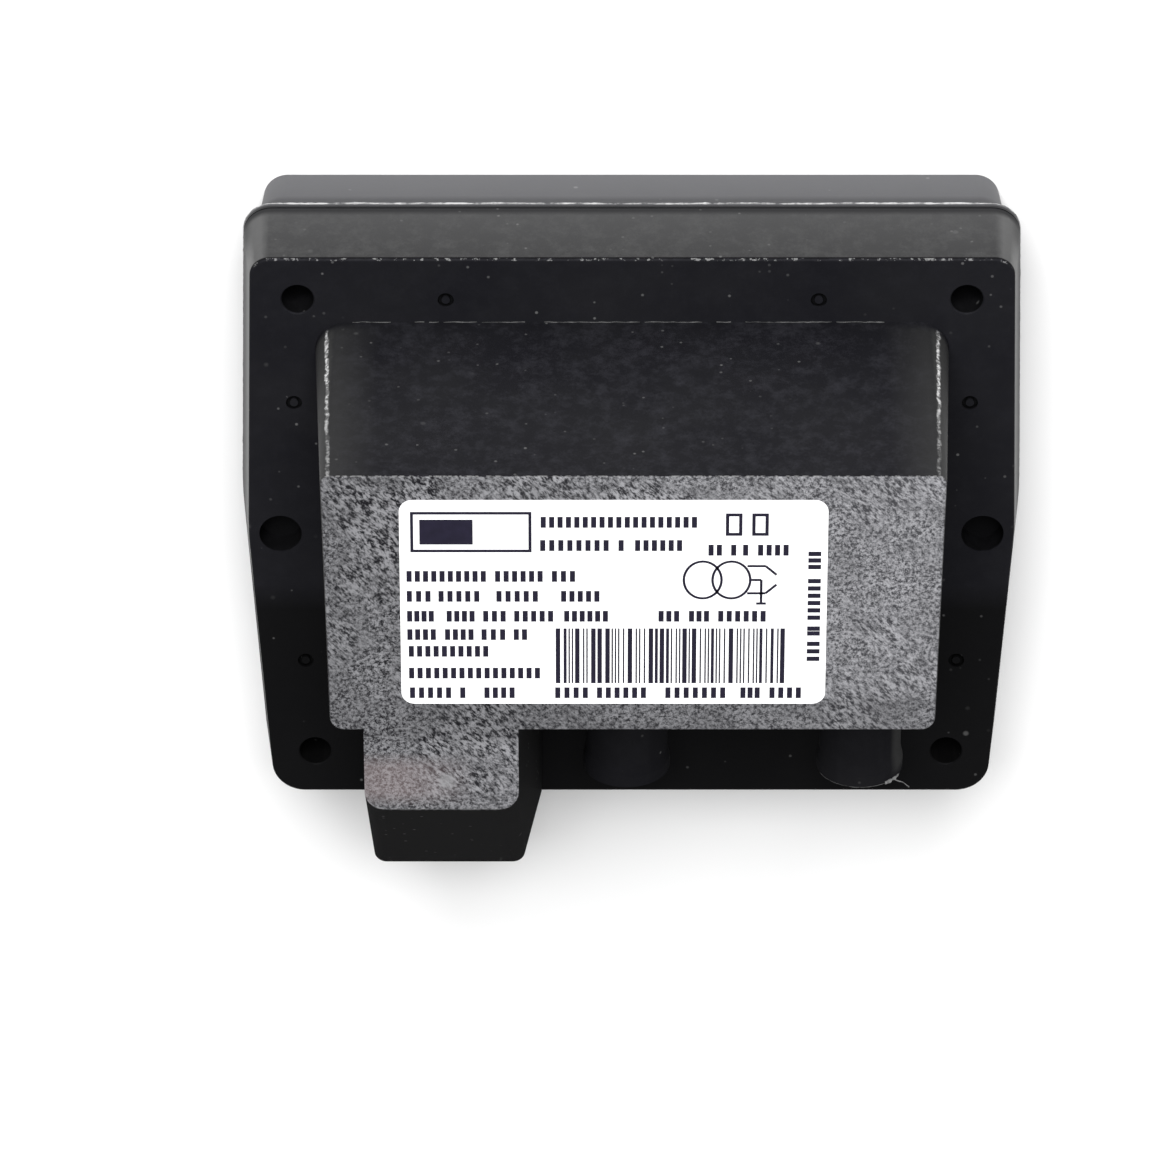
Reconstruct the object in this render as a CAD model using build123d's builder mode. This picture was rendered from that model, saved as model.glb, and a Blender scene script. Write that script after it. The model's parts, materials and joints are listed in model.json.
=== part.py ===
from build123d import *

import os

# Potted ignition transformer for oil and gas burners: a moulded case with two high-voltage
# outlets and a mains inlet, closed at the back by a cover and filled with resin.
# Millimetres. The back face is Z 0, +Z points out of the label, +Y is the top edge.
# The origin is the middle of the flange outline, on the back face.

# Depths of the case, from the back face to the label face
cover_depth = 16.4
skirt_depth = 14.6
block_depth = 45.0
parting_z = cover_depth
flange_z = parting_z + skirt_depth
front_z = flange_z + block_depth

# Walls
skirt_wall = 3.0
flange_wall = 3.5
block_wall = 3.0
front_wall = 3.0
cover_wall = 3.0
cover_floor = 3.0
inside_corner = 2.0

# Flange outline, on its front face: half widths at the top, the middle and the bottom
flange_half_top = 63.6
flange_half_mid = 65.0
flange_half_low = 61.6
flange_top = 53.5
flange_low = -53.5
flange_mid = -0.6
flange_top_corner = 3.4
flange_low_corner = 5.6
flange_mid_bend = 60.0
flange_rim = 0.5
skirt_flare = 1.5
parting_bevel = 0.4

# Back cover: its step in from the parting edge, its taper to the back, its flare and its lip
cover_inset = 2.0
cover_taper = 0.9
cover_corner = 4.2
cover_flare = 1.0
cover_flare_height = 2.0
cover_lip = 1.2
cover_rim = 0.8
cover_grow = skirt_flare - cover_inset
tongue_height = 2.0
tongue_wall = 1.5
tongue_gap = 0.5
tongue_grow = skirt_flare - skirt_wall - tongue_gap

# Raised block that holds the core and coils, at its foot on the flange
block_half_top = 53.1
block_half_low = 52.2
block_top = 41.3
block_low = -12.6
block_draft = 2.1
block_foot_corner = 5.5
block_front_corner = 1.4
block_front_low_corner = 2.4
block_rim = 0.4

# Nose over the mains inlet: straight left wall, sloping end, right wall that turns at a knee
nose_root = 0.0
nose_left = -44.6
nose_right = -19.0
nose_right_foot = -14.6
nose_front_low = -26.4
nose_front_knee = -21.0
nose_front_bow = 0.1
nose_knee_x = -15.4
nose_low = -68.5
nose_end_right = -18.8
nose_front_corner = 3.4
nose_end_corner = 2.2
nose_wall = 3.0

# High-voltage outlet tubes
hv_x = {"left": -0.8, "right": 39.1}
hv_z = 42.0
hv_mouth_y = -40.2
hv_root_y = -8.0
hv_tube_r = 7.0
hv_bead_r = 7.4
hv_bead_width = 2.0
hv_bore_r = 4.75
hv_saddle_half = 5.8

# High-voltage pins
pin_r = 2.0
pin_root_r = 2.4
pin_reach = 15.0
pin_tip_bevel = 0.6
pin_collar_r = 3.5
pin_collar = 1.0
pin_tail_r = 1.2
pin_tail = 1.2
pin_tail_run = 1.9
pin_seat_y = block_low + block_wall

# Fixing holes, blind recesses and moulding marks on the flange
fixing_r = 2.7
fixing_rim_r = 2.9
fixing_boss_r = 5.2
fixing_top_x = 55.8
fixing_top_y = 45.7
fixing_low_x = 54.5
fixing_low_y = -45.2
recess_r = 3.6
recess_depth = 5.0
recess_boss_r = 5.6
recess_x = 59.6
recess_boss_depth = 9.0
mark_r = 1.35
mark_core_r = 0.7
mark_depth = 1.0
mark_places = ((31.1, 45.6), (56.8, 25.5), (55.8, -26.4))

# Rating label
label_width = 70.0
label_height = 39.8
label_corner = 2.2
label_thickness = 0.15
label_x = -3.2
label_y = 14.8

# Laminated core: both legs lie along X, the sheets are stacked along Y
core_y = 15.5
core_stack = 21.0
leg_height = 13.0
yoke_width = 14.0
core_side_gap = 1.1
leg_fit = 0.2
coil_floor_gap = 1.5
primary_build = 6.5
secondary_build = 8.5
shunt_height = 8.5
shunt_gap = 0.75
spacer_thickness = 0.5
rivet_r = 2.0
rivet_head_r = 3.5
rivet_head = 1.5

core_low = cover_floor + coil_floor_gap + primary_build
window_height = primary_build + shunt_gap + shunt_height + shunt_gap + secondary_build
primary_z = core_low + leg_height / 2
secondary_z = core_low + leg_height + window_height + leg_height / 2
core_high = secondary_z + leg_height / 2
shunt_z = core_low + leg_height + primary_build + shunt_gap + shunt_height / 2
window_half = block_half_low - block_draft - block_wall - core_side_gap - yoke_width
window_length = 2 * window_half
core_face = core_stack / 2
rivet_x = window_half + yoke_width / 2

# Bobbins and windings
bobbin_tube = 1.2
bobbin_flange = 1.2
bobbin_corner = 1.5
winding_corner = 2.0
winding_drop = 1.0
tape_thickness = 0.3
section_count = 5
section_flange = 1.0
coil_space = 1.0
secondary_length = (window_length - coil_space) / 2
section_length = (secondary_length - (section_count + 1) * section_flange) / section_count

# Mains inlet in the nose, with three flat blades
inlet_x = -31.2
inlet_z = 23.5
inlet_width = 20.0
inlet_height = 10.0
inlet_depth = 14.0
inlet_corner = 1.5
insert_width = 18.0
insert_height = 9.0
insert_inner_y = -47.5
blade_pitch = 5.8
blade_width = 6.3
blade_thickness = 0.8
blade_reach = 9.0
blade_tip_bevel = 1.2
blade_hole_r = 0.85
blade_hole_from_tip = 3.0
blade_tail_width = 3.0
blade_tail = 5.0
inlet_floor_y = nose_low + inlet_depth

# Leads
lead_r = 0.9
fine_lead_r = 0.7
lead_bend = 4.0
fine_lead_bend = 1.2
lead_drop_y = -12.0
lead_turn_y = -30.0
live_start_in = 7.0
neutral_start_in = 14.0
tag_thickness = 0.8
tag_r = 3.6
tag_width = 3.0
tag_length = 8.0
midpoint_rise = 2.3
hv_lead_rise = 4.0


def outline(height, corners, radii):
    """A closed outline with rounded corners, on a plane parallel to the back face."""
    with BuildSketch(Plane.XY.offset(height)) as shape:
        with BuildLine():
            FilletPolyline(*corners, radius=radii, close=True)
        make_face()
    return shape.sketch


def flange_outline(height, grow, top_corner, low_corner):
    """The flange's six-sided outline, grown outwards on every side."""
    corners = (
        (flange_half_top + grow, flange_top + grow),
        (-flange_half_top - grow, flange_top + grow),
        (-flange_half_mid - grow, flange_mid),
        (-flange_half_low - grow, flange_low - grow),
        (flange_half_low + grow, flange_low - grow),
        (flange_half_mid + grow, flange_mid),
    )
    radii = (top_corner, top_corner, flange_mid_bend, low_corner, low_corner, flange_mid_bend)
    return outline(height, corners, radii)


def block_outline(height, inset, top_corner, low_corner):
    """The raised block's outline at one height, drafted, and inset for the space inside."""
    inwards = inset + block_draft * (height - flange_z) / block_depth
    corners = (
        (block_half_top - inwards, block_top - inwards),
        (-block_half_top + inwards, block_top - inwards),
        (-block_half_low + inwards, block_low + inwards),
        (block_half_low - inwards, block_low + inwards),
    )
    return outline(height, corners, (top_corner, top_corner, low_corner, low_corner))


def nose_foot(height, inset, corner):
    """The nose's outline at the flange, with its knee at the flange's lower edge."""
    corners = (
        (nose_left + inset, nose_root),
        (nose_left + inset, nose_low + inset),
        (nose_end_right - inset, nose_low + inset),
        (nose_knee_x - inset, flange_low),
        (nose_right_foot - inset, nose_root),
    )
    return outline(height, corners, (0, corner, corner, 0, 0))


def nose_front(height, inset, corner):
    """The nose's outline on the label face."""
    corners = (
        (nose_left + inset, nose_root),
        (nose_left + inset, nose_front_low + inset),
        (nose_right - inset, nose_front_low + inset),
        (nose_right - inset + nose_front_bow, nose_front_knee + inset),
        (nose_right - inset, nose_root),
    )
    return outline(height, corners, (0, corner, corner, 0, 0))


def coil_section(x, build, height, centre_z, corner):
    """A rounded rectangle round a core leg, on a plane across the leg."""
    with BuildSketch(Plane.YZ.offset(x)) as shape:
        with Locations((core_y, centre_z)):
            RectangleRounded(core_stack + 2 * build, height + 2 * build, corner)
    return shape.sketch


def round_wire(points, radius, bend):
    """A round wire along straight runs with bends between them."""
    with BuildPart() as wire:
        with BuildLine() as path:
            FilletPolyline(*points, radius=bend)
        with BuildSketch(Plane(origin=path.line @ 0, z_dir=path.line % 0)):
            Circle(radius)
        sweep(path=path.line)
    return wire.part


os.makedirs("parts", exist_ok=True)

fixings = []
for side in (-1, 1):
    fixings.append((side * fixing_top_x, fixing_top_y))
    fixings.append((side * fixing_low_x, fixing_low_y))
recesses = [(-recess_x, flange_mid), (recess_x, flange_mid)]
marks = [(side * x, y) for side in (-1, 1) for x, y in mark_places]

# The space inside the closed housing, with the screw bosses left standing in it
with BuildPart() as inside:
    loft(
        [
            flange_outline(cover_floor, cover_grow - cover_wall, inside_corner, inside_corner),
            flange_outline(parting_z, cover_grow - cover_wall, inside_corner, inside_corner),
        ],
        ruled=True,
    )
    loft(
        [
            flange_outline(parting_z, skirt_flare - skirt_wall, inside_corner, inside_corner),
            flange_outline(flange_z - flange_wall, -skirt_wall, inside_corner, inside_corner),
        ],
        ruled=True,
    )
    loft(
        [
            block_outline(flange_z - flange_wall, block_wall, inside_corner, inside_corner),
            block_outline(front_z - front_wall, block_wall, inside_corner, inside_corner),
        ],
        ruled=True,
    )
    with BuildSketch(Plane.YZ.offset(nose_left + nose_wall)) as nose_room:
        with BuildLine():
            Polyline(
                (nose_root, flange_z - flange_wall - inside_corner),
                (nose_root, front_z - front_wall),
                (nose_front_low + nose_wall, front_z - front_wall),
                (flange_low + nose_wall, flange_z + nose_wall),
                (flange_low + nose_wall, flange_z - flange_wall - inside_corner),
                close=True,
            )
        make_face()
    extrude(amount=nose_right - nose_left - 2 * nose_wall)
    with BuildSketch(Plane.XY.offset(0)):
        with Locations(*fixings):
            Circle(fixing_boss_r)
    extrude(amount=flange_z, mode=Mode.SUBTRACT)
    with BuildSketch(Plane.XY.offset(flange_z - recess_boss_depth)):
        with Locations(*recesses):
            Circle(recess_boss_r)
    extrude(amount=recess_boss_depth, mode=Mode.SUBTRACT)

# Skirt and flange of the case, before the block is added; the bevel leaves a groove at the lip
bevel_z = parting_z + parting_bevel
bevel_grow = skirt_flare - parting_bevel
skirt_top_corner = flange_top_corner + skirt_flare
skirt_low_corner = flange_low_corner + skirt_flare
with BuildPart() as skirt:
    loft(
        [
            flange_outline(bevel_z, skirt_flare, skirt_top_corner, skirt_low_corner),
            flange_outline(flange_z, 0, flange_top_corner, flange_low_corner),
        ],
        ruled=True,
    )
    fillet(skirt.faces().sort_by(Axis.Z)[-1].edges(), flange_rim)
    loft(
        [
            flange_outline(parting_z, bevel_grow, skirt_top_corner, skirt_low_corner),
            flange_outline(bevel_z, skirt_flare, skirt_top_corner, skirt_low_corner),
        ],
        ruled=True,
    )

# Raised block, its corners sharpening towards the label face
with BuildPart() as block:
    loft(
        [
            block_outline(flange_z - flange_wall, 0, block_foot_corner, block_foot_corner),
            block_outline(front_z, 0, block_front_corner, block_front_low_corner),
        ],
        ruled=True,
    )
    fillet(block.faces().sort_by(Axis.Z)[-1].edges(), block_rim)

# Nose, with its sloping end
with BuildPart() as nose:
    loft(
        [
            nose_foot(flange_z, 0, nose_end_corner),
            nose_front(front_z, 0, nose_front_corner),
        ],
        ruled=True,
    )
    extrude(nose_foot(parting_z, 0, nose_end_corner), amount=skirt_depth)

# Case: one moulding
with BuildPart() as case:
    add(skirt.part)
    add(block.part)
    add(nose.part)
    for x in hv_x.values():
        with BuildSketch(Plane(origin=(x, 0, hv_z), x_dir=(0, -1, 0), z_dir=(1, 0, 0))):
            with BuildLine():
                Polyline(
                    (-hv_root_y, 0),
                    (-hv_root_y, hv_tube_r),
                    (-hv_mouth_y - 2 * hv_bead_width, hv_tube_r),
                    (-hv_mouth_y - hv_bead_width, hv_bead_r),
                    (-hv_mouth_y, hv_bead_r),
                    (-hv_mouth_y, 0),
                    close=True,
                )
            make_face()
        revolve(axis=Axis((x, 0, hv_z), (0, -1, 0)))
        with BuildSketch(Plane.XZ.offset(-hv_root_y)):
            with Locations((x, (flange_z + hv_z) / 2)):
                Rectangle(2 * hv_saddle_half, hv_z - flange_z)
        extrude(amount=hv_root_y - hv_mouth_y - hv_bead_width)
    add(inside.part, mode=Mode.SUBTRACT)
    for x in hv_x.values():
        with BuildSketch(Plane.XZ.offset(-hv_mouth_y)):
            with Locations((x, hv_z)):
                Circle(hv_bore_r)
        extrude(amount=hv_mouth_y - block_low, mode=Mode.SUBTRACT)
        with BuildSketch(Plane.XZ.offset(-block_low)):
            with Locations((x, hv_z)):
                Circle(pin_root_r)
        extrude(amount=block_low - pin_seat_y, mode=Mode.SUBTRACT)
        with BuildSketch(Plane.XZ.offset(-pin_seat_y)):
            with Locations((x, hv_z)):
                Circle(pin_collar_r)
        extrude(amount=-pin_collar, mode=Mode.SUBTRACT)
    with BuildSketch(Plane.XZ.offset(-nose_low)):
        with Locations((inlet_x, inlet_z)):
            RectangleRounded(inlet_width, inlet_height, inlet_corner)
    extrude(amount=-inlet_depth, mode=Mode.SUBTRACT)
    with BuildSketch(Plane.XZ.offset(-inlet_floor_y)):
        with Locations((inlet_x, inlet_z)):
            Rectangle(insert_width, insert_height)
    extrude(amount=inlet_floor_y - insert_inner_y, mode=Mode.SUBTRACT)
    with Locations(*[(x, y, flange_z) for x, y in fixings]):
        CounterSinkHole(fixing_r, fixing_rim_r, skirt_depth)
    with Locations(*[(x, y, flange_z) for x, y in recesses]):
        Hole(recess_r, recess_depth)
    with BuildSketch(Plane.XY.offset(flange_z)):
        with Locations(*marks):
            Circle(mark_r)
            Circle(mark_core_r, mode=Mode.SUBTRACT)
    extrude(amount=-mark_depth, mode=Mode.SUBTRACT)
case.part.label = "case"
export_step(case.part, "parts/case.step")

# Back cover: a drafted tray that flares to a lip at the parting line, with a locating tongue
lip_z = parting_z - cover_lip
flare_z = lip_z - cover_flare_height
flared_corner = cover_corner + cover_flare
with BuildPart() as back_cover:
    loft(
        [
            flange_outline(0, cover_grow - cover_taper, cover_corner, cover_corner),
            flange_outline(flare_z, cover_grow, cover_corner, cover_corner),
        ],
        ruled=True,
    )
    fillet(back_cover.faces().sort_by(Axis.Z)[0].edges(), cover_rim)
    loft(
        [
            flange_outline(flare_z, cover_grow, cover_corner, cover_corner),
            flange_outline(lip_z, cover_grow + cover_flare, flared_corner, flared_corner),
        ],
        ruled=True,
    )
    extrude(
        flange_outline(lip_z, skirt_flare, skirt_top_corner, skirt_low_corner),
        amount=cover_lip,
    )
    add(inside.part, mode=Mode.SUBTRACT)
    with BuildSketch(Plane.XY.offset(parting_z)):
        add(flange_outline(0, tongue_grow, inside_corner, inside_corner))
        add(
            flange_outline(0, tongue_grow - tongue_wall, inside_corner, inside_corner),
            mode=Mode.SUBTRACT,
        )
        with Locations(*fixings):
            Circle(fixing_boss_r + tongue_gap, mode=Mode.SUBTRACT)
    extrude(amount=tongue_height)
    with Locations(*[(x, y, parting_z) for x, y in fixings]):
        Hole(fixing_r, cover_depth)
back_cover.part.label = "back_cover"
export_step(back_cover.part, "parts/back_cover.step")

# Laminated core: a U-shaped stack with both legs, and the straight stack that closes it
with BuildPart() as core_u_stack:
    with BuildSketch(Plane.XZ.offset(-core_y)):
        with Locations((-yoke_width / 2, (core_low + core_high) / 2)):
            Rectangle(window_length + yoke_width, core_high - core_low)
        with Locations((0, (core_low + core_high) / 2)):
            Rectangle(window_length, window_height, mode=Mode.SUBTRACT)
        with Locations((-rivet_x, primary_z), (-rivet_x, secondary_z)):
            Circle(rivet_r, mode=Mode.SUBTRACT)
    extrude(amount=core_face, both=True)
core_u_stack.part.label = "core_u_stack"
export_step(core_u_stack.part, "parts/core_u_stack.step")

with BuildPart() as core_i_stack:
    with BuildSketch(Plane.XZ.offset(-core_y)):
        with Locations((rivet_x, (core_low + core_high) / 2)):
            Rectangle(yoke_width, core_high - core_low)
        with Locations((rivet_x, primary_z), (rivet_x, secondary_z)):
            Circle(rivet_r, mode=Mode.SUBTRACT)
    extrude(amount=core_face, both=True)
core_i_stack.part.label = "core_i_stack"
export_step(core_i_stack.part, "parts/core_i_stack.step")

# Rivets that hold the sheets together; the one that carries the earth tag is longer
rivet_places = [(x, z) for x in (-rivet_x, rivet_x) for z in (primary_z, secondary_z)]
tag_place = (-rivet_x, primary_z)
with BuildPart() as core_rivets:
    for place in rivet_places:
        front_gap = tag_thickness if place == tag_place else 0
        with BuildSketch(Plane.XZ.offset(-core_y - core_face)):
            with Locations(place):
                Circle(rivet_r)
        extrude(amount=core_stack + front_gap)
        with BuildSketch(Plane.XZ.offset(-core_y - core_face - rivet_head)):
            with Locations(place):
                Circle(rivet_head_r)
        extrude(amount=rivet_head)
        with BuildSketch(Plane.XZ.offset(core_face - core_y + front_gap)):
            with Locations(place):
                Circle(rivet_head_r)
        extrude(amount=rivet_head)
core_rivets.part.label = "core_rivets"
export_step(core_rivets.part, "parts/core_rivets.step")

# Earth tag under the head of one rivet, its tongue pointing to the back
with BuildPart() as earth_tag:
    with BuildSketch(Plane.XZ.offset(core_face - core_y)):
        with Locations(tag_place):
            Circle(tag_r)
        with Locations((tag_place[0], tag_place[1] - tag_length / 2)):
            Rectangle(tag_width, tag_length)
        with Locations(tag_place):
            Circle(rivet_r, mode=Mode.SUBTRACT)
    extrude(amount=tag_thickness)
earth_tag.part.label = "earth_tag"
export_step(earth_tag.part, "parts/earth_tag.step")

# Magnetic shunt between the primary and the secondary, with a spacer at each end
with BuildPart() as magnetic_shunt:
    with Locations((0, core_y, shunt_z)):
        Box(window_length - 2 * spacer_thickness, core_stack, shunt_height)
magnetic_shunt.part.label = "magnetic_shunt"
export_step(magnetic_shunt.part, "parts/magnetic_shunt.step")

spacers = {}
for side, sign in (("left", -1), ("right", 1)):
    with BuildPart() as shunt_spacer:
        with Locations((sign * (window_half - spacer_thickness / 2), core_y, shunt_z)):
            Box(spacer_thickness, core_stack, shunt_height)
    spacers[side] = shunt_spacer.part
    shunt_spacer.part.label = f"shunt_spacer_{side}"
    export_step(shunt_spacer.part, f"parts/shunt_spacer_{side}.step")

# Primary coil on the rear leg
tube_build = leg_fit + bobbin_tube
with BuildPart() as primary_bobbin:
    extrude(
        coil_section(-window_half, tube_build, leg_height, primary_z, bobbin_corner),
        amount=window_length,
    )
    for x in (-window_half, window_half - bobbin_flange):
        extrude(
            coil_section(x, primary_build, leg_height, primary_z, bobbin_corner),
            amount=bobbin_flange,
        )
    extrude(
        coil_section(-window_half, leg_fit, leg_height, primary_z, leg_fit),
        amount=window_length,
        mode=Mode.SUBTRACT,
    )
primary_bobbin.part.label = "primary_bobbin"
export_step(primary_bobbin.part, "parts/primary_bobbin.step")

primary_start = -window_half + bobbin_flange
primary_length = window_length - 2 * bobbin_flange
tape_build = primary_build - winding_drop
wire_build = tape_build - tape_thickness
with BuildPart() as primary_winding:
    extrude(
        coil_section(primary_start, wire_build, leg_height, primary_z, winding_corner),
        amount=primary_length,
    )
    extrude(
        coil_section(primary_start, tube_build, leg_height, primary_z, bobbin_corner),
        amount=primary_length,
        mode=Mode.SUBTRACT,
    )
primary_winding.part.label = "primary_winding"
export_step(primary_winding.part, "parts/primary_winding.step")

with BuildPart() as primary_tape:
    extrude(
        coil_section(
            primary_start, tape_build, leg_height, primary_z, winding_corner + tape_thickness
        ),
        amount=primary_length,
    )
    extrude(
        coil_section(primary_start, wire_build, leg_height, primary_z, winding_corner),
        amount=primary_length,
        mode=Mode.SUBTRACT,
    )
primary_tape.part.label = "primary_tape"
export_step(primary_tape.part, "parts/primary_tape.step")

# Secondary coils on the front leg, wound in sections between flanges
section_pitch = section_length + section_flange
secondary_bobbins = {}
secondary_windings = {}
for side, start in (("left", -window_half), ("right", coil_space / 2)):
    with BuildPart() as secondary_bobbin:
        extrude(
            coil_section(start, tube_build, leg_height, secondary_z, bobbin_corner),
            amount=secondary_length,
        )
        for index in range(section_count + 1):
            extrude(
                coil_section(
                    start + index * section_pitch,
                    secondary_build,
                    leg_height,
                    secondary_z,
                    bobbin_corner,
                ),
                amount=section_flange,
            )
        extrude(
            coil_section(start, leg_fit, leg_height, secondary_z, leg_fit),
            amount=secondary_length,
            mode=Mode.SUBTRACT,
        )
    secondary_bobbins[side] = secondary_bobbin.part
    secondary_bobbin.part.label = f"secondary_bobbin_{side}"
    export_step(secondary_bobbin.part, f"parts/secondary_bobbin_{side}.step")

    with BuildPart() as secondary_winding:
        for index in range(section_count):
            x = start + section_flange + index * section_pitch
            extrude(
                coil_section(
                    x, secondary_build - winding_drop, leg_height, secondary_z, winding_corner
                ),
                amount=section_length,
            )
        extrude(
            coil_section(start, tube_build, leg_height, secondary_z, bobbin_corner),
            amount=secondary_length,
            mode=Mode.SUBTRACT,
        )
    secondary_windings[side] = secondary_winding.part
    secondary_winding.part.label = f"secondary_winding_{side}"
    export_step(secondary_winding.part, f"parts/secondary_winding_{side}.step")

# High-voltage pins, seated by a collar on the inside of the case
hv_pins = {}
for side, x in hv_x.items():
    with BuildPart() as hv_pin:
        with BuildSketch(Plane.XZ.offset(-block_low)):
            with Locations((x, hv_z)):
                Circle(pin_r)
        extrude(amount=pin_reach)
        chamfer(hv_pin.faces().sort_by(Axis.Y)[0].edges(), pin_tip_bevel)
        with BuildSketch(Plane.XZ.offset(-pin_seat_y)):
            with Locations((x, hv_z)):
                Circle(pin_root_r)
        extrude(amount=pin_seat_y - block_low)
        with BuildSketch(Plane.XZ.offset(-pin_seat_y)):
            with Locations((x, hv_z)):
                Circle(pin_collar_r)
        extrude(amount=-pin_collar)
        with BuildSketch(Plane.XZ.offset(-pin_seat_y - pin_collar)):
            with Locations((x, hv_z)):
                Circle(pin_tail_r)
        extrude(amount=-pin_tail)
    hv_pins[side] = hv_pin.part
    hv_pin.part.label = f"hv_pin_{side}"
    export_step(hv_pin.part, f"parts/hv_pin_{side}.step")

# High-voltage leads from the outer sections of the secondaries to the pins
secondary_face_y = core_y - core_face - secondary_build + winding_drop
pin_tail_y = pin_seat_y + pin_collar + pin_tail
outer_section = window_half - section_flange - section_length / 2
hv_leads = {}
for side, sign in (("left", -1), ("right", 1)):
    x = hv_x[side]
    start_z = hv_z + hv_lead_rise
    hv_leads[side] = round_wire(
        [
            (sign * outer_section, secondary_face_y, start_z),
            (sign * outer_section, pin_tail_y + pin_tail_run, start_z),
            (x, pin_tail_y + pin_tail_run, hv_z),
            (x, pin_tail_y, hv_z),
        ],
        fine_lead_r,
        fine_lead_bend,
    )
    with BuildPart() as hv_lead:
        add(hv_leads[side])
    hv_lead.part.label = f"hv_lead_{side}"
    export_step(hv_lead.part, f"parts/hv_lead_{side}.step")

# Midpoint leads from the inner sections of the secondaries to the core's rivets
secondary_top_y = core_y + core_face + secondary_build - winding_drop
inner_section = coil_space / 2 + section_flange + section_length / 2
midpoint_leads = {}
for side, sign in (("left", -1), ("right", 1)):
    midpoint_leads[side] = round_wire(
        [
            (sign * inner_section, secondary_top_y, secondary_z),
            (sign * inner_section, secondary_top_y + midpoint_rise, secondary_z),
            (sign * rivet_x, secondary_top_y + midpoint_rise, secondary_z),
            (sign * rivet_x, core_y + core_face + rivet_head, secondary_z),
        ],
        fine_lead_r,
        fine_lead_bend,
    )
    with BuildPart() as midpoint_lead:
        add(midpoint_leads[side])
    midpoint_lead.part.label = f"midpoint_lead_{side}"
    export_step(midpoint_lead.part, f"parts/midpoint_lead_{side}.step")

# Mains blades, and the insert that holds them in the floor of the inlet
blade_x = {
    "earth": inlet_x - blade_pitch,
    "live": inlet_x,
    "neutral": inlet_x + blade_pitch,
}
blade_tip_y = inlet_floor_y - blade_reach
blade_end_y = insert_inner_y + blade_tail
blades = {}
for wire_name, x in blade_x.items():
    with BuildPart() as blade:
        with BuildSketch(Plane.YZ.offset(x)):
            with Locations(((blade_tip_y + insert_inner_y) / 2, inlet_z)):
                body = Rectangle(insert_inner_y - blade_tip_y, blade_width)
            chamfer(body.vertices().group_by(Axis.Y)[0], blade_tip_bevel)
            with Locations((insert_inner_y + blade_tail / 2, inlet_z)):
                Rectangle(blade_tail, blade_tail_width)
            with Locations((blade_tip_y + blade_hole_from_tip, inlet_z)):
                Circle(blade_hole_r, mode=Mode.SUBTRACT)
        extrude(amount=blade_thickness / 2, both=True)
    blades[wire_name] = blade.part
    blade.part.label = f"blade_{wire_name}"
    export_step(blade.part, f"parts/blade_{wire_name}.step")

with BuildPart() as terminal_insert:
    with BuildSketch(Plane.XZ.offset(-inlet_floor_y)):
        with Locations((inlet_x, inlet_z)):
            Rectangle(insert_width, insert_height)
    extrude(amount=inlet_floor_y - insert_inner_y)
    for blade_part in blades.values():
        add(blade_part, mode=Mode.SUBTRACT)
terminal_insert.part.label = "terminal_insert"
export_step(terminal_insert.part, "parts/terminal_insert.step")

# Mains leads to the primary and the earth lead to the core
tape_face_y = core_y - core_face - tape_build
tag_face_y = core_y - core_face - tag_thickness
earth_start_z = primary_z - tag_length + tag_width / 2
lead_starts = {
    "earth": (-rivet_x, tag_face_y, earth_start_z),
    "live": (live_start_in - window_half, tape_face_y, primary_z),
    "neutral": (neutral_start_in - window_half, tape_face_y, primary_z),
}
mains_leads = {}
for wire_name, start in lead_starts.items():
    x = blade_x[wire_name]
    mains_leads[wire_name] = round_wire(
        [
            start,
            (start[0], lead_drop_y, start[2]),
            (x, lead_turn_y, inlet_z),
            (x, blade_end_y, inlet_z),
        ],
        lead_r,
        lead_bend,
    )
    with BuildPart() as mains_lead:
        add(mains_leads[wire_name])
    mains_lead.part.label = f"lead_{wire_name}"
    export_step(mains_lead.part, f"parts/lead_{wire_name}.step")

# Potting resin: fills the space inside round everything that it holds
with BuildPart() as potting_resin:
    add(inside.part)
    with BuildSketch(Plane.XY.offset(parting_z)):
        add(flange_outline(0, skirt_flare, inside_corner, inside_corner))
        add(
            flange_outline(0, tongue_grow - tongue_wall, inside_corner, inside_corner),
            mode=Mode.SUBTRACT,
        )
    extrude(amount=tongue_height, mode=Mode.SUBTRACT)
    for leg_z in (primary_z, secondary_z):
        extrude(
            coil_section(-window_half, leg_fit, leg_height, leg_z, leg_fit),
            amount=window_length,
            mode=Mode.SUBTRACT,
        )
    held = [core_u_stack, core_i_stack, core_rivets, earth_tag, magnetic_shunt]
    held += [primary_bobbin, primary_winding, primary_tape, terminal_insert]
    for piece in held:
        add(piece.part, mode=Mode.SUBTRACT)
    for group in (
        spacers,
        secondary_bobbins,
        secondary_windings,
        hv_pins,
        hv_leads,
        midpoint_leads,
        blades,
        mains_leads,
    ):
        for part in group.values():
            add(part, mode=Mode.SUBTRACT)
potting_resin.part.label = "potting_resin"
export_step(potting_resin.part, "parts/potting_resin.step")

# Rating label on the block
with BuildPart() as rating_label:
    with BuildSketch(Plane.XY.offset(front_z)):
        with Locations((label_x, label_y)):
            RectangleRounded(label_width, label_height, label_corner)
    extrude(amount=label_thickness)
rating_label.part.label = "rating_label"
export_step(rating_label.part, "parts/rating_label.step")
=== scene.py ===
"""Looks of the potted ignition transformer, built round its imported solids.

Metres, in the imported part's frame: the flat back lies on the floor at Z 0, and +Z points
out of the label.
"""

import json
import math
import random

import bmesh
import bpy
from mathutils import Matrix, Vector
from mathutils.geometry import convex_hull_2d


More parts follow.
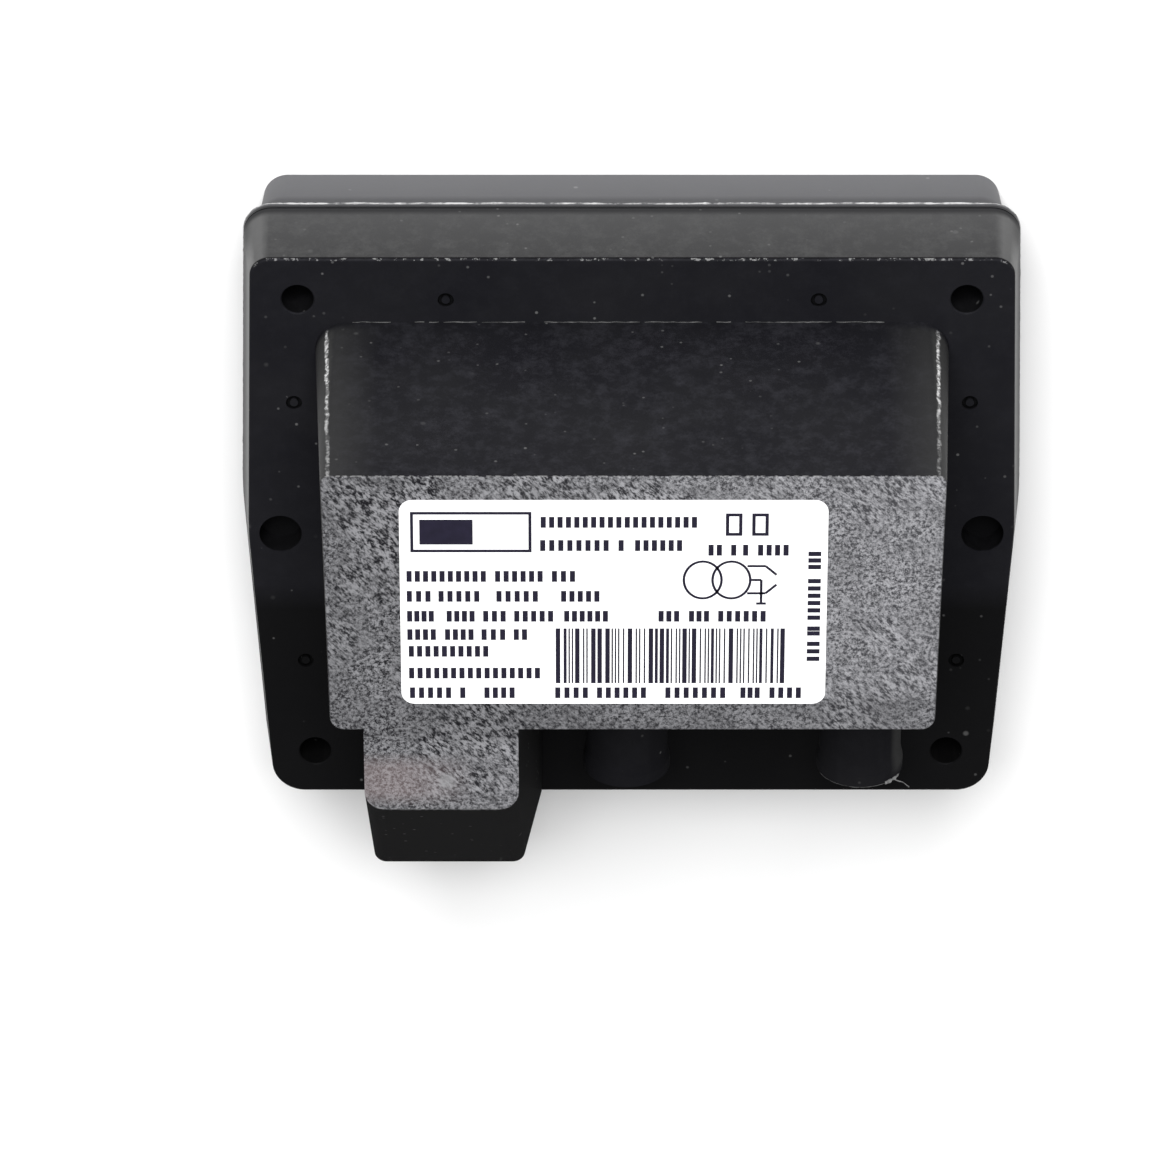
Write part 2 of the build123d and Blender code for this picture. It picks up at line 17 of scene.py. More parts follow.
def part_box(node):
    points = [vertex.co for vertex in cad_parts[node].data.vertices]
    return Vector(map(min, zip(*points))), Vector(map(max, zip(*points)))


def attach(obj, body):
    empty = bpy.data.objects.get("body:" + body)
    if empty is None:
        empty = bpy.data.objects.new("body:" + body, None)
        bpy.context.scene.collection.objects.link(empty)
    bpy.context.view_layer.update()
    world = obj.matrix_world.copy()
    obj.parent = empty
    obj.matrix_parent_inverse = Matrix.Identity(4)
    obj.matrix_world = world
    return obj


MM = 0.001

# Camera: the photograph's frame is square, and its view leans from the label's normal to +Y
IMAGE_SIDE = 1176
FOCAL_PIXELS = 8012
SENSOR = 36.0
VIEW_LEAN = math.radians(33)
VIEW_DISTANCE = 1403.7 * MM
VIEW_TARGET = Vector((-7.38, -31.74, 0)) * MM
CLIP_START = 0.05
CLIP_END = 20

# Floor and light: each light has its place, the side of its square and its power in watts
FLOOR_SIDE = 8.0
FLOOR_DROP = 0.05 * MM
FLOOR_COLOUR = (0.78, 0.78, 0.78, 1)
WORLD_STRENGTH = 0.32
LIGHT_AIM = Vector((0, 0, 0.03))
LIGHTS = {
    "key": ((-0.1, 1.6, 1.9), 1.4, 105),
    "fill_left": ((-1.7, 0.5, 1.1), 1.2, 4),
    "fill_right": ((1.7, 0.6, 1.1), 1.2, 4),
    "fill_back": ((0.3, -1.9, 0.6), 1.4, 12),
}

# Where the case's looks begin and where they are full
SKIRT_LONG_WALL_Y = (49.5 * MM, 50.5 * MM)
SKIRT_END_WALL_X = (63.3 * MM, 63.6 * MM)
SKIRT_SLANT_X = (58.5 * MM, 60 * MM)
SKIRT_SLANT_Y = (-6 * MM, -10 * MM)
# Painted shadow of the block on the parts below it, in Y and in Z
BLOCK_SHADOW_Y = (-11 * MM, -16 * MM)
BLOCK_SHADOW_Z = (46 * MM, 36 * MM)
NOSE_RIGHT_X = (-11 * MM, -14 * MM)
DULL_END_Y = (-9 * MM, -12 * MM)
TUBE_HIGHLIGHT_X = (44 * MM, 44.5 * MM)
UPPER_HALF_Y = (0, 12 * MM)
EDGE_GLOW_X = (42 * MM, 49 * MM)
EDGE_LEFT_X = (-10 * MM, 10 * MM)
UPPER_RIM_Y = (50 * MM, 50.5 * MM)
PALE_FACE_X = (-15 * MM, 40 * MM)
DARK_FACE_X = (-20 * MM, -48 * MM)
WARM_FACE_X = (-26 * MM, -38 * MM)

# Where a look lies between two places, with how far it runs out
TUBE_HIGHLIGHT_Y = (-38 * MM, -17 * MM, 2 * MM)
TUBE_HIGHLIGHT_Z = (39 * MM, 49 * MM, 1 * MM)
DARK_FACE_Y = (-12 * MM, -5 * MM, 2 * MM)
WARM_FACE_Y = (-23 * MM, -18 * MM, 3 * MM)
SMOOTH_FACE_X = (-31.6 * MM, -30.2 * MM, 0.9 * MM)
SMOOTH_FACE_Y = (-21.6 * MM, -19.8 * MM, 0.9 * MM)
TORN_LEFT_X = (-60 * MM, -52 * MM, 3 * MM)
TORN_RIGHT_X = (40 * MM, 57 * MM, 3 * MM)

# Painted highlight line, with worn flecks, on the block's side edges: its place at the flange, how
# far it leans inwards, and half its width, with how far it strays and runs out
EDGE_X = 51.1 * MM
EDGE_LEAN = 0.031
EDGE_HALF = 0.12 * MM
EDGE_STRAY = 0.2 * MM
EDGE_SOFT = 0.25 * MM

# Burr along the lip's lower edge, and the painted shadow of the parting groove above the lip
BURR_SEED = 7
LIP_DEPTH = 1.2 * MM
BURR_STEP = 0.6 * MM
BURR_RADIUS = 0.2 * MM
BURR_BEAD = 0.32 * MM
BURR_BEAD_SHARE = 0.08
BURR_WANDER = 0.14 * MM
BURR_END_X = 58.5 * MM
GROOVE_SHADOW_DEPTH = 1.1 * MM
GROOVE_SHADOW_SOFT = 2.3 * MM
PLANE_TOLERANCE = 0.01 * MM

# Flash line where the block meets the flange
CREASE_SEED = 8
CREASE_RADIUS = 0.1 * MM
CREASE_STEP = 0.8 * MM
CREASE_KEPT = 0.85
CREASE_STRAY = 0.06
CREASE_LIFT = 0.04 * MM

# Flash at the right outlet tube, whose mouth is a ring of this middle and radius
RIM_SEED = 10
FLASH_SEED = 11
MOUTH_X = 39.1 * MM
MOUTH_Y = -40.2 * MM
MOUTH_Z = 42.0 * MM
MOUTH_RADIUS = 7.4 * MM
MOUTH_STRAY = 0.05
MOUTH_STEP = 3
RIM_ARC = (25, 158)
FLASH_ARC = (28, 56)

# Label print, simple shapes only: sizes of its cells, lines and bars
BARS_SEED = 9
PRINT_LIFT = 0.02 * MM
PRINT_THICK = 0.03 * MM
LETTER_HEIGHT = 2.1 * MM
LETTER_WIDTH = 0.85 * MM
LETTER_PITCH = 1.4 * MM
LINE_WIDTH = 0.42 * MM
FRAME_LINE = 0.5 * MM
BOX_LINE = 0.55 * MM
BAR_START = -9.5 * MM
BAR_END = 27.6 * MM
BAR_MIDDLE = -10.4 * MM
BAR_HALF = 5.4 * MM
BAR_WIDTHS = (0.25, 0.25, 0.5, 0.75)
BAR_GAPS = (0.28, 0.3, 0.55)

METAL_CLASSES = ("brass", "brushed_steel")
SOFT_ROUGHNESS = {"rubber": 0.6, "gloss_plastic": 0.25, "matte_plastic": 0.55}


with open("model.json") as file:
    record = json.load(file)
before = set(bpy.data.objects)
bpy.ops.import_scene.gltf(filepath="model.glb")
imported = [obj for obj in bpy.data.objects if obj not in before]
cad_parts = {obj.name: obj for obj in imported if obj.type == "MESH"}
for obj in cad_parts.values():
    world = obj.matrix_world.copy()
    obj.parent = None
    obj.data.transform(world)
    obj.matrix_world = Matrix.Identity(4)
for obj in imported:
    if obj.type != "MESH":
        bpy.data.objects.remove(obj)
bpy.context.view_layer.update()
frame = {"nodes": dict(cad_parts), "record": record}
case_low, case_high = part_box("case")
cover_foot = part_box("back_cover")[0].z
label_low, label_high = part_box("rating_label")
label_centre = (label_low + label_high) / 2
parting_z = case_low.z
front_z = case_high.z
flange_z = 31.0 * MM
block_top_y = 41.35 * MM
block_line_half = 47.5 * MM


class Look:
    """A node material, with short calls for the nodes that it is made of."""

    def __init__(self, name):
        self.material = bpy.data.materials.new(name)
        self.material.use_nodes = True
        self.tree = self.material.node_tree
        self.tree.nodes.clear()
        self.surface = self.add("ShaderNodeBsdfPrincipled")
        output = self.add("ShaderNodeOutputMaterial")
        self.tree.links.new(self.surface.outputs[0], output.inputs[0])
        coordinates = self.add("ShaderNodeTexCoord")
        self.place = coordinates.outputs["Object"]
        self.normal = coordinates.outputs["Normal"]

    def add(self, kind, sockets=None, **settings):
        node = self.tree.nodes.new(kind)
        for key, value in settings.items():
            setattr(node, key, value)
        for key, value in (sockets or {}).items():
            self.set(node, key, value)
        return node

    def set(self, node, key, value):
        if isinstance(value, bpy.types.NodeSocket):
            self.tree.links.new(value, node.inputs[key])
        else:
            node.inputs[key].default_value = value

    def math(self, operation, first, second=0.0):
        node = self.add("ShaderNodeMath", {0: first, 1: second}, operation=operation)
        return node.outputs[0]

    def band(self, value, low, high, start=0.0, end=1.0):
        """Runs from start to end as value goes from low to high, and stays there outside."""
        sockets = {
            "Value": value,
            "From Min": low,
            "From Max": high,
            "To Min": start,
            "To Max": end,
        }
        return self.add("ShaderNodeMapRange", sockets).outputs["Result"]

    def between(self, value, low, high, soft):
        """One from low to high, and soft is how far the ends run out."""
        rise = self.band(value, low - soft, low)
        return self.times(rise, self.band(value, high + soft, high))

    def near(self, value, base, low, high):
        """Runs from 0 to 1 between two places given in millimetres from a base."""
        return self.band(value, base + low * MM, base + high * MM)

    def noise(self, scale, detail=3.0, roughness=0.6, place=None):
        sockets = {
            "Vector": place or self.place,
            "Scale": scale,
            "Detail": detail,
            "Roughness": roughness,
        }
        return self.add("ShaderNodeTexNoise", sockets).outputs[0]

    def patches(self, low, high, scale, detail=3.0, roughness=0.6):
        """Noise that is 0 below low and 1 above high."""
        return self.band(self.noise(scale, detail, roughness), low, high)

    def specks(self, scale, share, size):
        """Small round specks: share of the cells hold one, size is in cells."""
        cells = self.add("ShaderNodeTexVoronoi", {"Vector": self.place, "Scale": scale})
        chosen = self.math("LESS_THAN", self.split(cells.outputs["Color"])[0], share)
        dot = self.band(cells.outputs["Distance"], size, size * 0.5)
        return self.math("MULTIPLY", chosen, dot)

    def times(self, first, *others):
        for other in others:
            first = self.math("MULTIPLY", first, other)
        return first

    def most(self, first, *others):
        for other in others:
            first = self.math("MAXIMUM", first, other)
        return first

    def turned(self, angle, stretch):
        """The place seen from axes turned about Z and drawn out along them."""
        sockets = {
            "Vector": self.place,
            "Rotation": (0, 0, angle),
            "Scale": stretch,
        }
        node = self.add("ShaderNodeMapping", sockets, vector_type="TEXTURE")
        return node.outputs[0]

    def split(self, vector):
        return self.add("ShaderNodeSeparateXYZ", {0: vector}).outputs

    def mix(self, factor, first, second):
        """A number between two others."""
        node = self.add("ShaderNodeMix", data_type="FLOAT")
        for index, value in ((0, factor), (2, first), (3, second)):
            self.set(node, index, value)
        return node.outputs[0]

    def blend(self, factor, first, second):
        """A colour between two others."""
        node = self.add("ShaderNodeMix", data_type="RGBA")
        for index, value in ((0, factor), (6, first), (7, second)):
            self.set(node, index, value)
        return node.outputs[2]

    def coat(self, mask, strength, below, above):
        """A colour laid over another, as far as mask and strength say."""
        return self.blend(self.times(mask, strength), below, above)

    def bump(self, height, strength, distance):
        sockets = {"Height": height, "Strength": strength, "Distance": distance}
        node = self.add("ShaderNodeBump", sockets)
        self.set(self.surface, "Normal", node.outputs[0])

    def colour(self, value):
        self.set(self.surface, "Base Color", value)

    def rough(self, value):
        self.set(self.surface, "Roughness", value)

    def specular(self, level):
        self.surface.inputs["Specular IOR Level"].default_value = level


def grey(value, blue=1.0):
    """A grey, with its blue channel at this share of the others."""
    return (value, value, value * blue, 1)


class CaseLook(Look):
    """Black moulded plastic with dust, a rubbed skirt, painted shade, highlights and sheen, and an
    eroded grey label face.
    """

    def __init__(self):
        super().__init__("case_moulded_plastic")
        self.x, self.y, self.z = self.split(self.place)
        self.x_n, self.y_n, self.z_n = self.split(self.normal)
        self.wide = self.math("ABSOLUTE", self.x)
        self.side = self.math("ABSOLUTE", self.x_n)

        body = self.skirt_wear_and_light(self.smooth_body())
        body = self.fleck_rims(self.edge_highlight_and_wear(self.dust(body)))
        grain = self.face_grain()
        on_face = self.times(
            self.near(self.z, front_z, -0.45, -0.25), self.band(self.z_n, 0.5, 0.85)
        )
        self.colour(self.blend(on_face, body, self.label_face(grain)))
        self.specular(0.025)
        dull = self.most(
            self.band(self.y_n, -0.3, -0.6),
            self.times(self.band(self.side, 0.3, 0.6), self.band(self.y, *DULL_END_Y)),
        )
        self.rough(self.most(self.band(on_face, 0, 1, 0.44, 0.85), dull))
        fine = self.times(self.noise(1400, 3), 0.25)
        coarse = self.times(grain, on_face, 1.2)
        self.bump(self.math("ADD", fine, coarse), 0.4, 0.1 * MM)

    def smooth_body(self):
        """Smooth black, paler in patches on walls facing +Y, with painted shadow of the block,
        painted shade below the flange face and a painted highlight on the right tube.
        """
        body = self.blend(self.patches(0.35, 0.7, 45, 4), grey(0.0072, 1.25), grey(0.01, 1.15))
        # Paler in patches on the walls that face +Y.
        upwards = self.band(self.y_n, 0.4, 0.7, 0.15, 0.85)
        upward_patches = self.times(self.patches(0.46, 0.72, 330, 5, 0.8), upwards)
        body = self.blend(upward_patches, body, grey(0.02, 1.2))
        # Painted shadow: darker on the lower flange, the outlet tubes and the nose, where the block
        # shades them from the key light; walls facing straight to -Y are left out.
        block_shadow = self.times(
            self.band(self.y, *BLOCK_SHADOW_Y),
            self.band(self.y_n, -0.95, -0.85),
            self.most(self.band(self.z, *BLOCK_SHADOW_Z, 0.25, 1.0), self.band(self.x, *NOSE_RIGHT_X)),
        )
        body = self.coat(block_shadow, 0.8, body, grey(0.003))
        # Painted highlight along the right outlet tube's right flank.
        tube_highlight = self.times(
            self.band(self.x_n, 0.7, 0.85),
            self.band(self.x, *TUBE_HIGHLIGHT_X),
            self.between(self.y, *TUBE_HIGHLIGHT_Y),
            self.between(self.z, *TUBE_HIGHLIGHT_Z),
        )
        body = self.coat(tube_highlight, 0.8, body, grey(0.03))
        # Painted shade: near-black below the flange face, which shows in the bores and recesses.
        return self.coat(self.near(self.z, flange_z, -0.2, -0.4), 0.75, body, grey(0.003))

    def skirt_wear_and_light(self, body):
        """Skirt rubbed grey with painted sheen, painted reflections at its corners and ends,
        painted shade low on its end walls and painted shadow along the parting groove.
        """
        # Partly rubbed grey, partly painted sheen of the key light; paler towards the parting.
        rubbed_and_sheen = self.blend(
            self.band(self.z, parting_z + 3 * MM, flange_z), grey(0.048, 1.02), grey(0.033, 1.02)
        )
        rubbed_and_sheen = self.coat(self.patches(0.45, 0.72, 300, 5, 0.8), 0.5, rubbed_and_sheen, grey(0.07))
        # Painted reflection on the skirt's rounded corners and ends.
        rubbed_and_sheen = self.coat(self.between(self.side, 0.4, 0.9, 0.3), 0.5, rubbed_and_sheen, grey(0.12))
        end_wall = self.band(self.side, 0.7, 0.95)
        # Painted shade low on the end walls, near the parting.
        end_wall_shade = self.times(end_wall, self.near(self.z, parting_z, 8, 3))
        rubbed_and_sheen = self.coat(end_wall_shade, 0.6, rubbed_and_sheen, grey(0.025))
        # Painted highlight on the end walls, growing towards the flange.
        glow_height = self.band(self.z, parting_z + 5 * MM, flange_z - 3 * MM)
        rubbed_and_sheen = self.coat(self.times(end_wall, glow_height), 0.5, rubbed_and_sheen, grey(0.24))
        # Painted shadow of the parting groove along the skirt's lower edge.
        groove_shadow = self.band(self.z, parting_z + GROOVE_SHADOW_SOFT, parting_z + GROOVE_SHADOW_DEPTH)
        rubbed_and_sheen = self.blend(groove_shadow, rubbed_and_sheen, grey(0.022, 1.05))
        outer = self.most(
            self.band(self.math("ABSOLUTE", self.y), *SKIRT_LONG_WALL_Y),
            self.band(self.wide, *SKIRT_END_WALL_X),
            self.times(self.band(self.wide, *SKIRT_SLANT_X), self.band(self.y, *SKIRT_SLANT_Y)),
        )
        under_rim = self.near(self.z, flange_z, -0.5, -0.75)
        return self.blend(self.times(outer, under_rim), body, rubbed_and_sheen)

    def dust(self, body):
        """Fine dust in clouds, and fewer, larger specks of lint."""
        fine = self.times(self.specks(620, 0.14, 0.2), self.patches(0.4, 0.6, 38, 2))
        body = self.coat(fine, 0.5, body, grey(0.15))
        lint = self.times(self.specks(260, 0.1, 0.16), self.patches(0.45, 0.6, 60, 2))
        return self.coat(lint, 0.45, body, grey(0.11))

    def edge_highlight_and_wear(self, body):
        """Painted highlights on the block's side edges: a narrow line sparkling with worn flecks,
        beside a soft band and a glow.
        """
        above = self.times(
            self.near(self.z, flange_z, 0.6, 2.5), self.band(self.y, *UPPER_HALF_Y)
        )
        # Painted highlight: a soft band on the rounded side edges.
        soft = self.times(self.between(self.side, 0.45, 0.96, 0.1), above)
        body = self.coat(soft, 0.85, body, grey(0.034))
        # Painted glow beside the side edges.
        edge_glow = self.times(self.band(self.wide, *EDGE_GLOW_X), self.band(self.side, 0.6, 0.4), above)
        body = self.coat(edge_glow, 0.6, body, grey(0.026))
        height = self.math("SUBTRACT", self.z, flange_z)
        leaned = self.math("ADD", self.wide, self.times(height, EDGE_LEAN))
        stray = self.band(self.noise(520, 2), 0.3, 0.7, -EDGE_STRAY, EDGE_STRAY)
        ragged = self.math("ADD", leaned, stray)
        # Painted highlight line down each side edge, sparkling with worn flecks.
        highlight_line = self.between(ragged, EDGE_X - EDGE_HALF, EDGE_X + EDGE_HALF, EDGE_SOFT)
        sparkle = self.band(self.noise(850, 3, 0.8), 0.44, 0.60, 0.15, 1.0)
        fading = self.times(
            self.band(self.z, flange_z + 33 * MM, flange_z + 16 * MM, 0.3, 1.0),
            self.band(self.x, *EDGE_LEFT_X, 1.0, 0.95),
        )
        return self.blend(self.times(highlight_line, above, sparkle, fading), body, grey(0.6))

    def fleck_rims(self, body):
        """Flecks on the flange's outer rim and on the block's front rim."""
        rim = self.band(self.math("ABSOLUTE", self.times(self.y_n, self.z_n)), 0.2, 0.4)
        chipped = self.times(
            self.patches(0.55, 0.62, 900, 3, 0.7), self.band(self.y, *UPPER_RIM_Y)
        )
        beaded = self.times(
            self.patches(0.47, 0.56, 1100, 2, 0.7), self.near(self.z, front_z, -0.8, -0.5)
        )
        return self.coat(self.times(rim, self.most(chipped, beaded)), 0.75, body, grey(0.2))

    def face_grain(self):
        """Blotches in some regions of the label face and slanting strokes in others."""
        strokes = self.noise(1900, 2, 0.7, self.turned(math.radians(-48), (2.0, 1, 1)))
        blotches = self.noise(1900, 3, 0.75)
        return self.mix(self.patches(0.42, 0.58, 55, 2), blotches, strokes)

    def label_face(self, grain):
        """Eroded grey, paler to the right, with a warm and a smooth patch on the nose."""
        paler = self.band(self.x, *PALE_FACE_X)
        pits = self.blend(paler, grey(0.010, 1.2), grey(0.035, 1.12))
        tips = self.blend(paler, grey(0.243, 1.05), grey(0.28, 1.05))
        face = self.blend(self.band(grain, 0.40, 0.61), pits, tips)
        mottle = self.band(self.noise(130, 4, 0.7), 0.4, 0.75, 0.0, 0.45)
        face = self.blend(mottle, face, grey(0.08, 1.05))
        darker = self.most(
            self.band(self.x, *DARK_FACE_X, 0.0, 0.7), self.between(self.y, *DARK_FACE_Y)
        )
        face = self.coat(darker, 0.3, face, grey(0.006, 1.1))
        warm = self.times(self.between(self.y, *WARM_FACE_Y), self.band(self.x, *WARM_FACE_X))
        face = self.coat(warm, 0.28, face, (0.27, 0.21, 0.21, 1))
        smooth = self.times(
            self.between(self.x, *SMOOTH_FACE_X), self.between(self.y, *SMOOTH_FACE_Y)
        )
        return self.coat(smooth, 0.6, face, grey(0.22, 1.03))


def cover_look():
    """The back cover's plastic, greyer than the case, with a worn lip, painted shade below it and
    painted shadow in the groove above it.
    """
    look = Look("cover_moulded_plastic")
    z = look.split(look.place)[2]
    lip_z = parting_z - LIP_DEPTH
    body = look.blend(look.near(z, cover_foot, 1.5, 8), grey(0.097, 1.06), grey(0.082, 1.06))
    body = look.coat(look.patches(0.4, 0.7, 150, 4, 0.7), 0.2, body, grey(0.1, 1.05))
    body = look.coat(look.specks(420, 0.07, 0.2), 0.5, body, grey(0.22))
    # Painted shade on the cover below the lip.
    body = look.coat(look.near(z, cover_foot, 8.6, 10.2), 0.5, body, grey(0.02, 1.1))
    body = look.coat(look.near(z, lip_z, -0.3, 0), 0.6, body, grey(0.1, 1.05))
    # Painted shadow in the parting groove above the lip.
    body = look.blend(look.near(z, lip_z, 0.3, 0.8), body, grey(0.012, 1.1))
    look.colour(body)
    look.specular(0.15)
    look.rough(0.5)
    look.bump(look.noise(1200, 3), 0.3, 0.05 * MM)
    return look.material


def label_look():
    """White printed film."""
    look = Look("label_film")
    look.colour(look.blend(look.patches(0.4, 0.7, 25), grey(0.91), grey(0.87, 1.01)))
    look.rough(0.32)
    look.bump(look.noise(160, 2), 0.08, 0.05 * MM)
    return look.material


def ink_look():
    """The print's blue-black ink."""
    look = Look("label_ink")
    look.colour(
        look.blend(look.noise(500, 2), (0.008, 0.007, 0.014, 1), (0.016, 0.014, 0.03, 1))
    )
    look.specular(0.1)
    look.rough(0.6)
    return look.material


def flash_look(name, low, high):
    """Thin moulding flash, pale where it is torn, most of all near the ends."""
    look = Look(name)
    x = look.split(look.place)[0]
    fresh = look.most(look.between(x, *TORN_LEFT_X), look.between(x, *TORN_RIGHT_X))
    torn = look.math("ADD", look.patches(0.34, 0.62, 420, 3, 0.7), look.times(fresh, 0.3))
    look.colour(look.blend(look.band(torn, 0, 1), grey(low, 1.05), grey(high)))
    look.specular(0.2)
    look.rough(0.5)
    look.bump(look.noise(2200, 2), 0.5, 0.05 * MM)
    return look.material


def shaded(colour, share):
    """A record's colour in full, and the same at a share of its tone."""
    return list(colour[:3]) + [1], [channel * share for channel in colour[:3]] + [1]


def metal_look(name, colour):
    """Plated or rolled metal with fine drawn lines."""
    look = Look(name)
    lines = look.noise(900, 2, 0.5, look.turned(0, (16, 1, 1)))
    full, darker = shaded(colour, 0.72)
    look.colour(look.blend(look.band(lines, 0.35, 0.65), darker, full))
    look.surface.inputs["Metallic"].default_value = 1.0
    look.rough(look.band(lines, 0.3, 0.7, 0.26, 0.42))
    look.bump(lines, 0.2, 0.02 * MM)
    return look.material


def plain_look(name, colour, rough):
    """Moulded, cast or sleeved material: its colour varies a little and its skin is fine."""
    look = Look(name)
    full, darker = shaded(colour, 0.75)
    look.colour(look.blend(look.patches(0.35, 0.65, 120, 4), darker, full))
    look.rough(rough)
    look.bump(look.noise(1500, 3), 0.25, 0.04 * MM)
    return look.material


def dress_nodes():
    """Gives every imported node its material, by the record's slots."""
    looks = {
        "case_plastic": CaseLook().material,
        "cover_plastic": cover_look(),
        "label_film": label_look(),
    }
    for entry in frame["record"]["materials"]:
        slot = entry["slot"]
        if slot in looks:
            continue
        if entry["class"] in METAL_CLASSES:
            looks[slot] = metal_look(slot, entry["base_color"])
        else:
            looks[slot] = plain_look(slot, entry["base_color"], SOFT_ROUGHNESS[entry["class"]])
    for entry in frame["record"]["subparts"]:
        materials = frame["nodes"][entry["node"]].data.materials
        materials.clear()
        materials.append(looks[entry["material_slot"]])


def to_mesh(name, form, smooth=False):
    """Turns a finished form into a mesh, and frees the form."""
    bmesh.ops.recalc_face_normals(form, faces=form.faces)
    mesh = bpy.data.meshes.new(name)
    form.to_mesh(mesh)
    form.free()
    for polygon in mesh.polygons:
        polygon.use_smooth = smooth
    return mesh


def make_piece(name, mesh, material):
    """Links a mesh as a piece of the object that rides on the one body."""
    piece = bpy.data.objects.new(name, mesh)
    bpy.context.scene.collection.objects.link(piece)
    mesh.materials.append(material)
    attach(piece, "root")


def make_flash(name, form, material):
    """A piece of moulding flash, which is of the case's plastic."""
    make_piece(name, to_mesh(name, form, True), material)


def parting_outline():
    """The lip's outline on the parting plane, as an ordered ring of points."""
    corners = [
        vertex.co
        for vertex in frame["nodes"]["back_cover"].data.vertices
        if abs(vertex.co.z - parting_z) < PLANE_TOLERANCE
    ]
    order = convex_hull_2d([(corner.x, corner.y) for corner in corners])
    return [Vector((corners[i].x, corners[i].y, parting_z)) for i in order]


def walk(corners, step):
    """Points along a closed ring of corners, about a step apart."""
    points = []
    for start, end in zip(corners, corners[1:] + corners[:1]):
        count = max(1, round((end - start).length / step))
        points += [start.lerp(end, i / count) for i in range(count)]
    return points


def skin(form, pairs):
    """Faces between each pair of vertex rings of the same length."""
    for first, second in pairs:
        for k in range(len(first)):
            n = (k + 1) % len(first)
            form.faces.new((first[k], first[n], second[n], second[k]))


def thread(form, points, radii, closed=False, sides=6):
    """A thin irregular thread through the points."""
    turns = [2 * math.pi * k / sides for k in range(sides)]
    rings = []
    last = len(points) - 1
    for i, point in enumerate(points):
        after = points[(i + 1) % len(points)] if closed or i < last else point
        before = points[i - 1] if closed or i else point
        along = (after - before).normalized()
        across = along.cross(Vector((0, 0, 1))).normalized()
        up = across.cross(along)
        places = [
            point + across * radii[i] * math.cos(turn) + up * radii[i] * math.sin(turn)
            for turn in turns
        ]
        rings.append([form.verts.new(place) for place in places])
    pairs = list(zip(rings, rings[1:]))
    if closed:
        pairs.append((rings[-1], rings[0]))
    else:
        form.faces.new(rings[0])
        form.faces.new(rings[-1])
    skin(form, pairs)


def parting_burr(material):
    """The torn flash along the lip's lower edge, thinner at the ends of the case."""
    chance = random.Random(BURR_SEED)
    points = walk(parting_outline(), BURR_STEP)
    radii = []
    drift = 0.0
    for point in points:
        radius = BURR_RADIUS * chance.uniform(0.75, 1.25)
        if chance.random() < BURR_BEAD_SHARE:
            radius = BURR_BEAD * chance.uniform(0.7, 1.0)
        if abs(point.x) > BURR_END_X:
            radius *= 0.5
        radii.append(radius)
        drift = 0.8 * drift + 0.2 * chance.uniform(-2, 2)
        point.z += drift * BURR_WANDER - LIP_DEPTH
    form = bmesh.new()
    thread(form, points, radii, closed=True)
    make_flash("parting_burr", form, material)


def block_crease(material):
    """The broken line of flash at the foot of the block's upper wall."""
    chance = random.Random(CREASE_SEED)
    form = bmesh.new()
    run = []
    count = round(2 * block_line_half / CREASE_STEP)
    for i in range(count + 1):
        x = -block_line_half + i * CREASE_STEP
        y = block_top_y + chance.uniform(-CREASE_STRAY, CREASE_STRAY) * MM
        run.append(Vector((x, y, flange_z + CREASE_LIFT)))
        ends = chance.random() > CREASE_KEPT or i == count
        if ends and len(run) > 2:
            thread(form, run, [CREASE_RADIUS * chance.uniform(0.4, 1.4) for _ in run])
        if ends:
            run = []
    make_flash("block_crease", form, material)


def mouth_arc(chance, first, last):
    """Points along the right outlet tube's mouth, between two angles in degrees."""
    points = []
    for degrees in range(first, last, MOUTH_STEP):
        angle = math.radians(degrees)
        reach = MOUTH_RADIUS + chance.uniform(-MOUTH_STRAY, MOUTH_STRAY) * MM
        x = MOUTH_X + reach * math.cos(angle)
        points.append(Vector((x, MOUTH_Y, MOUTH_Z + reach * math.sin(angle))))
    return points


def mouth_rim(material):
    """The faint line of flash round the right outlet tube's mouth."""
    chance = random.Random(RIM_SEED)
    form = bmesh.new()
    points = mouth_arc(chance, *RIM_ARC)
    thread(form, points, [chance.uniform(0.03, 0.08) * MM for _ in points])
    make_flash("mouth_rim", form, material)


def mouth_flash(material):
    """Torn flash at one place of that mouth, and a thread of it on the flange."""
    chance = random.Random(FLASH_SEED)
    form = bmesh.new()
    points = mouth_arc(chance, *FLASH_ARC)
    thread(form, points, [chance.uniform(0.12, 0.4) * MM for _ in points])
    strand = [
        Vector((45.2, -50.7, 31.05)) * MM,
        Vector((46.1, -51.3, 31.08)) * MM,
        Vector((47.2, -51.7, 31.06)) * MM,
        Vector((48.3, -52.7, 31.05)) * MM,
    ]
    thread(form, strand, [0.1 * MM, 0.14 * MM, 0.08 * MM, 0.1 * MM])
    make_flash("mouth_flash", form, material)


def print_ring(form, corners, above):
    """A ring of vertices over the label: corners are from its centre, above from its face."""
    z = label_high.z + PRINT_LIFT + above
    return [form.verts.new((label_centre.x + u, label_centre.y + v, z)) for u, v in corners]


def plate(form, corners):
    """A thin printed plate with these corners, in metres from the label's centre."""
    rings = [print_ring(form, corners, above) for above in (0, PRINT_THICK)]
    for vertices in rings:
        form.faces.new(vertices)
    skin(form, [rings])


def slab(form, u0, v0, u1, v1):
    """A printed rectangle, in metres from the label's centre."""
    plate(form, ((u0, v0), (u1, v0), (u1, v1), (u0, v1)))


def stroke(form, u0, v0, u1, v1):
    """A printed line between two places, in millimetres from the label's centre."""
    start = Vector((u0, v0)) * MM
    end = Vector((u1, v1)) * MM
    along = (end - start).normalized()
    aside = Vector((-along.y, along.x)) * LINE_WIDTH / 2
    plate(form, (start + aside, end + aside, end - aside, start - aside))


